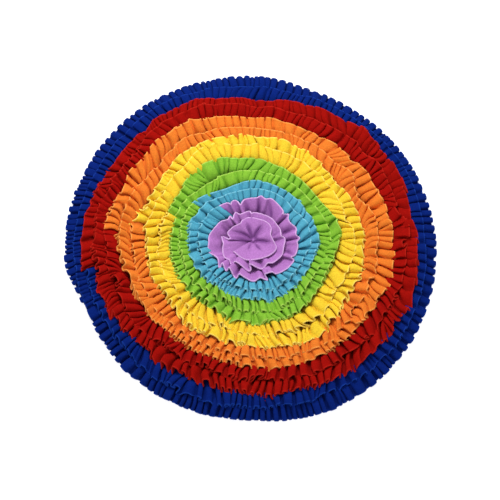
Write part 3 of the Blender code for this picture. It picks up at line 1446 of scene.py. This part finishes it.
def nap_group() -> bpy.types.NodeTree:
    """Builds the brushed surface that fleece and felt share.

    Returns:
        A group from a vector in metres to a colour and a height for bump.
    """
    known = bpy.data.node_groups.get("brushed_nap")
    if known:
        return known
    number, colour, vector = GroupSocket.NUMBER, GroupSocket.COLOUR, GroupSocket.VECTOR
    tree, given, out = new_group(
        "brushed_nap",
        (("Vector", vector, (0.0, 0.0, 0.0)), ("Colour", colour, (0.5, 0.5, 0.5, 1.0)),
         ("Mottle", number, 0.12), ("Grain", number, 0.12)),
        (("Colour", colour), ("Height", number)))
    vector_in = given.outputs["Vector"]
    tufts = tree.noise(vector_in, TUFTS)
    clumps = tree.noise(vector_in, CLUMPS)
    patches = tree.noise(vector_in, PATCHES)
    grain = tree.math("MULTIPLY", tree.math("SUBTRACT", tufts, 0.5), given.outputs["Grain"])
    mottle = tree.math("MULTIPLY", tree.math("SUBTRACT", patches, 0.5), given.outputs["Mottle"])
    change = tree.math("ADD", tree.math("ADD", 1.0, tree.math("MULTIPLY", grain, 2.0)),
                       tree.math("MULTIPLY", mottle, 2.0))
    scaled = tree.add("ShaderNodeVectorMath", operation="SCALE")
    tree.link(given.outputs["Colour"], scaled.inputs[0])
    tree.link(change, scaled.inputs["Scale"])
    tree.link(scaled.outputs[0], out.inputs["Colour"])
    height = tree.math("ADD", tree.math("MULTIPLY", tufts, TUFT_HEIGHT),
                       tree.math("MULTIPLY", clumps, CLUMP_HEIGHT))
    tree.link(height, out.inputs["Height"])
    return tree.tree


def fold_shade_group() -> bpy.types.NodeTree:
    """Builds the painted shade in the creases and the painted highlight on the cut edges that all the
    strips share.

    Returns:
        A group from a colour and the strip's own values to a colour.
    """
    known = bpy.data.node_groups.get("fold_shade")
    if known:
        return known
    number, colour = GroupSocket.NUMBER, GroupSocket.COLOUR
    tree, given, out = new_group(
        "fold_shade",
        (("Colour", colour, (0.5, 0.5, 0.5, 1.0)), ("Painted crease shade", colour, (0.2, 0.2, 0.2, 1.0)),
         ("Painted edge highlight", colour, (0.7, 0.7, 0.7, 1.0)), ("Share", number, 0.5),
         ("Fold depth", number, 0.0), ("Cut edge", number, 0.0), ("Crease shade strength", number, 0.5),
         ("Edge highlight strength", number, 0.5)),
        (("Colour", colour),))
    # Painted shade: the crease colour is mixed in where the fold is deep, less towards the free edge.
    deep = tree.ramp(given.outputs["Fold depth"], CREASE_SHADE_BY_DEPTH)
    inward = tree.ramp(given.outputs["Share"], CREASE_SHADE_BY_WIDTH)
    crease = tree.math("MULTIPLY", tree.math("MULTIPLY", deep, inward),
                       given.outputs["Crease shade strength"])
    shaded = tree.mix(crease, given.outputs["Colour"], given.outputs["Painted crease shade"])
    # Painted highlight: the edge colour is mixed in on the cut edge.
    edge = tree.math("MULTIPLY", tree.ramp(given.outputs["Cut edge"], CUT_EDGE_HIGHLIGHT),
                     given.outputs["Edge highlight strength"])
    tree.link(tree.mix(edge, shaded, given.outputs["Painted edge highlight"]), out.inputs["Colour"])
    return tree.tree


def new_material(name: str) -> tuple[bpy.types.Material, Tree, bpy.types.Node]:
    """Starts a material.

    Args:
        name: Its name.

    Returns:
        The material, its node tree and its shader.
    """
    material = bpy.data.materials.new(name)
    material.use_nodes = True
    tree = Tree(material.node_tree)
    return material, tree, material.node_tree.nodes["Principled BSDF"]


@dataclass(frozen=True)
class Nap:
    """How a cloth is brushed: its uneven dye, the grain of its tufts and their relief."""

    mottle: float
    grain: float
    bump: float
    bump_distance: float

    def brush(self, tree: Tree, shader: bpy.types.Node, colour: object) -> None:
        """Gives a shader the brushed colour and relief.

        Args:
            tree: The material's tree.
            shader: Its shader.
            colour: The cloth's colour, as an output or a plain value.
        """
        place = tree.add("ShaderNodeTexCoord")
        nap = tree.add("ShaderNodeGroup", node_tree=nap_group())
        tree.link(place.outputs["Object"], nap.inputs["Vector"])
        tree.feed(nap.inputs["Colour"], colour)
        nap.inputs["Mottle"].default_value = self.mottle
        nap.inputs["Grain"].default_value = self.grain
        tree.link(nap.outputs["Colour"], shader.inputs["Base Color"])
        bump = tree.add("ShaderNodeBump")
        bump.inputs["Strength"].default_value = self.bump
        bump.inputs["Distance"].default_value = self.bump_distance
        tree.link(nap.outputs["Height"], bump.inputs["Height"])
        tree.link(bump.outputs["Normal"], shader.inputs["Normal"])


@dataclass(frozen=True)
class FleeceFinish:
    """Napped fleece of one colour, with painted crease shade and a painted cut-edge highlight. Colours
    are linear.
    """

    slot: str
    colour: Colour
    # colour of the painted shade in the creases
    crease: Colour
    # colour of the painted highlight on the cut edges, which tints the sheen as well
    edge: Colour
    sheen: float = 0.15
    sheen_roughness: float = 0.45
    gloss: float = 0.15
    # strength of the painted crease shade
    crease_shade_strength: float = 0.65
    # strength of the painted cut-edge highlight
    edge_highlight_strength: float = 0.80
    roughness: float = 0.93
    nap: Nap = Nap(mottle=0.10, grain=0.42, bump=0.45, bump_distance=0.5 * MM)

    def material(self) -> bpy.types.Material:
        """Makes the cloth's material.

        Returns:
            A material that reads the strip's own values and its place.
        """
        material, tree, shader = new_material(self.slot + "_napped")
        values = {name: tree.add("ShaderNodeAttribute", attribute_name=name).outputs["Fac"]
                  for name in ("share", "fold_depth", "cut_edge")}
        shade = tree.add("ShaderNodeGroup", node_tree=fold_shade_group())
        for socket, value in (("Colour", (*self.colour, 1)), ("Painted crease shade", (*self.crease, 1)),
                              ("Painted edge highlight", (*self.edge, 1)),
                              ("Crease shade strength", self.crease_shade_strength),
                              ("Edge highlight strength", self.edge_highlight_strength),
                              ("Share", values["share"]), ("Fold depth", values["fold_depth"]),
                              ("Cut edge", values["cut_edge"])):
            tree.feed(shade.inputs[socket], value)
        self.nap.brush(tree, shader, shade.outputs["Colour"])
        shader.inputs["Roughness"].default_value = self.roughness
        shader.inputs["Specular IOR Level"].default_value = self.gloss
        shader.inputs["Sheen Weight"].default_value = self.sheen
        shader.inputs["Sheen Roughness"].default_value = self.sheen_roughness
        shader.inputs["Sheen Tint"].default_value = (*self.edge, 1)
        return material


# Fleece of each strip, from the middle outwards: its slot, its colour, the colour of its painted
# crease shade and that of its painted cut-edge highlight.
FLEECES = (
    FleeceFinish("fleece_purple", (0.44, 0.18, 0.51), (0.11, 0.018, 0.16), (0.74, 0.47, 0.80)),
    FleeceFinish("fleece_light_blue", (0.08, 0.36, 0.50), (0.01, 0.10, 0.19), (0.22, 0.57, 0.71)),
    FleeceFinish("fleece_green", (0.22, 0.48, 0.035), (0.03, 0.14, 0.01), (0.44, 0.70, 0.11)),
    FleeceFinish("fleece_yellow", (0.86, 0.58, 0.03), (0.58, 0.26, 0.01), (1.0, 0.78, 0.15)),
    FleeceFinish("fleece_orange", (0.77, 0.19, 0.02), (0.33, 0.04, 0.01), (0.96, 0.38, 0.08)),
    FleeceFinish("fleece_red", (0.32, 0.004, 0.002), (0.07, 0.002, 0.002), (0.47, 0.015, 0.008),
                 sheen=0.04, gloss=0.05),
    FleeceFinish("fleece_blue", (0.002, 0.015, 0.16), (0.001, 0.002, 0.035), (0.008, 0.045, 0.32),
                 sheen=0.04, gloss=0.05),
)


@dataclass(frozen=True)
class FeltFinish:
    """Plain felt-like cloth."""

    slot: str = "base"
    colour: Colour = (0.02, 0.03, 0.12)
    roughness: float = 0.96
    sheen: float = 0.2
    nap: Nap = Nap(mottle=0.2, grain=0.35, bump=0.6, bump_distance=0.4 * MM)

    def material(self) -> bpy.types.Material:
        """Makes the felt's material.

        Returns:
            A material that reads only the cloth's place.
        """
        material, tree, shader = new_material("base_felt")
        self.nap.brush(tree, shader, (*self.colour, 1))
        shader.inputs["Roughness"].default_value = self.roughness
        shader.inputs["Sheen Weight"].default_value = self.sheen
        return material


@dataclass(frozen=True)
class ThreadFinish:
    """Twisted sewing thread, with painted shade between its strands and a painted highlight on them."""

    slot: str = "base"
    colour: Colour = (0.05, 0.07, 0.22)
    # shares of the colour for the painted shade between the strands and the painted highlight on them
    strand_shade: float = 0.6
    strand_highlight: float = 1.5
    roughness: float = 0.55

    def material(self) -> bpy.types.Material:
        """Makes the thread's material.

        Returns:
            A material that reads only the thread's place.
        """
        material, tree, shader = new_material("seam_thread")
        place = tree.add("ShaderNodeTexCoord")
        # A noise spreads the painted strand shade and the painted strand highlight along the thread.
        twist = tree.noise(place.outputs["Object"], TWIST)
        dark, light = ((*(times * part for part in self.colour), 1)
                       for times in (self.strand_shade, self.strand_highlight))
        tree.link(tree.mix(twist, dark, light), shader.inputs["Base Color"])
        shader.inputs["Roughness"].default_value = self.roughness
        return material


# ---------------------------------------------------------------- base cloth and its seam


@dataclass
class BaseCloth:
    """The round cloth that the strips are sewn to, flat on the floor.

    It is made in rings around its middle, whose size is a share of the whole. The last 1.5 % is
    the cut edge, which is rounded a little.
    """

    finish: FeltFinish = FeltFinish()
    margin: float = 6.0 * MM
    thickness: float = 1.6 * MM
    lift: float = 0.35 * MM
    outline_points: int = 288
    rings: int = 10
    smoothing_turns: float = 4 / 72
    smoothing_count: int = 9
    first_ring: float = 0.06
    last_flat_ring: float = 0.985
    rounded_ring: float = 0.9965
    rounding: float = 0.12 * MM
    side_heights: Span = (0.3, 0.7)

    def outline(self) -> Array:
        """Works out the cloth's edge, outside the outermost seam.

        Returns:
            Radius of the cloth in each direction.
        """
        direction = np.arange(self.outline_points) / self.outline_points
        steps = np.linspace(-self.smoothing_turns, self.smoothing_turns, self.smoothing_count)
        around = direction[None, :] + steps[:, None]
        turns = around + np.floor(PATH.end - around)
        return PATH.seam_radius(turns).mean(axis=0) + self.margin

    def profile(self) -> list[tuple[float, float]]:
        """Works out the rings that the cloth is made of.

        Returns:
            Size and height of each ring, from the middle of the underside to that of the top.
        """
        low, high = self.lift, self.lift + self.thickness
        flat = np.linspace(self.first_ring, self.last_flat_ring, self.rings)
        flat_back = np.linspace(self.last_flat_ring, self.first_ring, self.rings)
        rings = [(share, low) for share in flat]
        rings.append((self.rounded_ring, low + self.rounding))
        rings += [(1.0, low + height * self.thickness) for height in self.side_heights]
        rings.append((self.rounded_ring, high - self.rounding))
        rings += [(share, high) for share in flat_back]
        return rings

    def build(self) -> bpy.types.Object:
        """Makes the cloth: a flat disc with a rounded cut edge.

        Returns:
            The finished piece, which stands for the cloth's solid.
        """
        radius = self.outline()
        angle = np.arange(self.outline_points) / self.outline_points * TAU
        work = bmesh.new()
        loops = []
        for share, z in self.profile():
            loops.append([work.verts.new((PATH.centre[0] + share * r * math.cos(a),
                                          PATH.centre[1] + share * r * math.sin(a), z))
                          for r, a in zip(radius, angle)])
        for inner, outer in zip(loops, loops[1:]):
            for index in range(self.outline_points):
                after = (index + 1) % self.outline_points
                work.faces.new((inner[index], outer[index], outer[after], inner[after]))
        work.faces.new(loops[0])
        work.faces.new(loops[-1])
        bmesh.ops.recalc_face_normals(work, faces=work.faces)
        for face in work.faces:
            face.smooth = True
        mesh = bpy.data.meshes.new("base_cloth_felt")
        work.to_mesh(mesh)
        work.free()
        mesh.materials.append(self.finish.material())
        piece = add_piece("base_cloth_felt", mesh)
        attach(piece, "root")
        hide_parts("base_cloth")
        return piece


@dataclass
class SeamStitches:
    """The stitches that show on the underside, one row of them all along the spiral seam."""

    finish: ThreadFinish = ThreadFinish()
    pitch: float = 4.0 * MM
    length: float = 3.1 * MM
    thread: float = 0.32 * MM
    height: float = 0.34 * MM
    first_radius: float = 4.0 * MM
    line_points: int = 1500
    sides: int = 6
    most_turn: float = 0.12
    seed: int = 5

    def seam_line(self) -> bpy.types.Object:
        """Makes the line that the stitches follow.

        Returns:
            A curve along the seam, on the base cloth's underside.
        """
        turns = np.linspace(PATH.start, PATH.end, self.line_points)
        radius = np.maximum(PATH.seam_radius(turns), self.first_radius)
        angle = turns * TAU
        data = bpy.data.curves.new("seam_line", "CURVE")
        data.dimensions = "3D"
        spline = data.splines.new("POLY")
        spline.points.add(len(turns) - 1)
        points = PATH.placed(radius * np.cos(angle), radius * np.sin(angle),
                             np.full(len(turns), self.height), np.ones(len(turns)))
        spline.points.foreach_set("co", points.ravel())
        line = bpy.data.objects.new("seam_line", data)
        bpy.context.scene.collection.objects.link(line)
        return line

    def tree(self, material: bpy.types.Material) -> bpy.types.NodeTree:
        """Builds the tree that lays a stitch at every step of the line.

        Args:
            material: The thread.

        Returns:
            A tree with the pitch, the stitch's length and the thread's radius as inputs.
        """
        group = bpy.data.node_groups.new("stitch_row", "GeometryNodeTree")
        group.interface.new_socket("Geometry", in_out="INPUT", socket_type="NodeSocketGeometry")
        for label in ("Pitch", "Stitch length", "Thread radius"):
            group.interface.new_socket(label, in_out="INPUT", socket_type="NodeSocketFloat")
        group.interface.new_socket("Geometry", in_out="OUTPUT", socket_type="NodeSocketGeometry")
        tree = Tree(group)
        given, out = tree.add("NodeGroupInput"), tree.add("NodeGroupOutput")
        points = tree.add("GeometryNodeCurveToPoints", mode="LENGTH")
        tree.link(given.outputs["Geometry"], points.inputs["Curve"])
        tree.link(given.outputs["Pitch"], points.inputs["Length"])
        stitch = tree.add("GeometryNodeMeshCylinder", fill_type="TRIANGLE_FAN")
        stitch.inputs["Vertices"].default_value = self.sides
        stitch.inputs["Side Segments"].default_value = 1
        tree.link(given.outputs["Thread radius"], stitch.inputs["Radius"])
        tree.link(given.outputs["Stitch length"], stitch.inputs["Depth"])
        lay = tree.add("GeometryNodeInstanceOnPoints")
        tree.link(points.outputs["Points"], lay.inputs["Points"])
        tree.link(points.outputs["Rotation"], lay.inputs["Rotation"])
        tree.link(stitch.outputs["Mesh"], lay.inputs["Instance"])
        turn = tree.add("FunctionNodeRandomValue", data_type="FLOAT")
        turn.inputs[2].default_value = -self.most_turn
        turn.inputs[3].default_value = self.most_turn
        turn.inputs["Seed"].default_value = self.seed
        tilt = tree.add("ShaderNodeCombineXYZ")
        tree.link(turn.outputs[1], tilt.inputs["Y"])
        rotate = tree.add("GeometryNodeRotateInstances")
        tree.link(lay.outputs["Instances"], rotate.inputs["Instances"])
        tree.link(tilt.outputs[0], rotate.inputs["Rotation"])
        real = tree.add("GeometryNodeRealizeInstances")
        tree.link(rotate.outputs["Instances"], real.inputs["Geometry"])
        paint = tree.add("GeometryNodeSetMaterial")
        paint.inputs["Material"].default_value = material
        tree.link(real.outputs["Geometry"], paint.inputs["Geometry"])
        tree.link(paint.outputs["Geometry"], out.inputs["Geometry"])
        return group

    def build(self) -> bpy.types.Object:
        """Makes the stitches as one plain mesh.

        Returns:
            The finished piece.
        """
        line = self.seam_line()
        material = self.finish.material()
        group = self.tree(material)
        modifier = line.modifiers.new("stitches", "NODES")
        modifier.node_group = group
        sizes = {"Pitch": self.pitch, "Stitch length": self.length, "Thread radius": self.thread}
        for item in group.interface.items_tree:
            if item.in_out == "INPUT" and item.name in sizes:
                modifier[item.identifier] = sizes[item.name]
        depsgraph = bpy.context.evaluated_depsgraph_get()
        mesh = bpy.data.meshes.new_from_object(line.evaluated_get(depsgraph), depsgraph=depsgraph)
        line.modifiers.remove(modifier)
        bpy.data.objects.remove(line, do_unlink=True)
        mesh.name = "seam_stitches"
        mesh.polygons.foreach_set("use_smooth", np.ones(len(mesh.polygons), dtype=bool))
        piece = add_piece("seam_stitches", mesh)
        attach(piece, "root")
        return piece


# ---------------------------------------------------------------- studio


@dataclass(frozen=True)
class Lamp:
    """A soft square light that shines at the mat: its place, its side and its power in watts."""

    name: str
    place: tuple[float, float, float]
    size: float
    power: float

    def hang(self) -> None:
        """Puts the light in the scene."""
        data = bpy.data.lights.new(self.name, "AREA")
        data.shape = "SQUARE"
        data.size = self.size
        data.energy = self.power
        lamp = bpy.data.objects.new(self.name, data)
        lamp.location = self.place
        lamp.rotation_euler = (-Vector(self.place)).to_track_quat("-Z", "Y").to_euler()
        bpy.context.scene.collection.objects.link(lamp)


@dataclass
class Studio:
    """Plain pale floor, soft lights and the camera of the photograph's view."""

    camera_elevation: float = math.radians(68.0)
    camera_distance: float = 2.0
    camera_lens: float = 107.0
    sensor_width: float = 36.0
    aim: tuple[float, float, float] = (-0.0003, -0.011, 0.0)
    floor_size: float = 12.0
    floor_colour: Colour = (0.60, 0.60, 0.60)
    floor_roughness: float = 0.9
    floor_glow: float = 0.75
    world_strength: float = 0.40
    lamps: tuple[Lamp, ...] = (Lamp("key", (-0.15, 0.80, 1.15), 0.6, 17.5),
                               Lamp("fill", (0.4, -1.5, 1.5), 0.9, 9.0))

    def floor(self) -> None:
        """Makes the floor, which isn't part of the object."""
        work = bmesh.new()
        bmesh.ops.create_grid(work, x_segments=2, y_segments=2, size=self.floor_size / 2)
        mesh = bpy.data.meshes.new("floor")
        work.to_mesh(mesh)
        work.free()
        material, _, shader = new_material("pale_floor")
        shader.inputs["Base Color"].default_value = (*self.floor_colour, 1)
        shader.inputs["Roughness"].default_value = self.floor_roughness
        shader.inputs["Emission Color"].default_value = WHITE
        shader.inputs["Emission Strength"].default_value = self.floor_glow
        mesh.materials.append(material)
        floor = add_piece("floor", mesh)

    def camera(self) -> None:
        """Sets up the camera."""
        data = bpy.data.cameras.new("camera")
        data.lens = self.camera_lens
        data.sensor_width = self.sensor_width
        camera = bpy.data.objects.new("camera", data)
        back = Vector((0, -math.cos(self.camera_elevation), math.sin(self.camera_elevation)))
        camera.location = Vector(self.aim) + back * self.camera_distance
        camera.rotation_euler = (-back).to_track_quat("-Z", "Y").to_euler()
        bpy.context.scene.collection.objects.link(camera)
        bpy.context.scene.camera = camera

    def build(self) -> None:
        """Sets up the whole studio."""
        self.floor()
        scene = bpy.context.scene
        scene.view_settings.view_transform = "Standard"
        world = bpy.data.worlds.new("soft_white")
        world.use_nodes = True
        background = world.node_tree.nodes["Background"]
        background.inputs["Color"].default_value = WHITE
        background.inputs["Strength"].default_value = self.world_strength
        scene.world = world
        for lamp in self.lamps:
            lamp.hang()
        self.camera()


# ---------------------------------------------------------------- the mat


@dataclass
class SnuffleMat:
    """The whole mat, in the order in which it is sewn."""

    base: BaseCloth = field(default_factory=BaseCloth)
    stitches: SeamStitches = field(default_factory=SeamStitches)
    strips: list[RuffleStrip] = field(init=False)
    first_seed: int = 40

    def __post_init__(self) -> None:
        """Sets the colour, the folds and the place of each strip."""
        self.strips = []
        start = PATH.start
        for number, (band, finish) in enumerate(zip(BANDS[1:], FLEECES)):
            kind = FlowerStrip if band is PURPLE else RuffleStrip
            self.strips.append(kind(band, start, finish, self.first_seed + number))
            start = band.end

    def build(self) -> None:
        """Makes every piece and reports it."""
        for maker in (self.base, *self.strips, self.stitches):
            piece = maker.build()
            log.info("%s: %d triangles", piece.name, triangles(piece))


def main() -> None:
    """Builds the studio and the mat."""
    logging.basicConfig(level=logging.INFO, format="%(message)s")
    Studio().build()
    SnuffleMat().build()


if __name__ == "__main__":
    main()
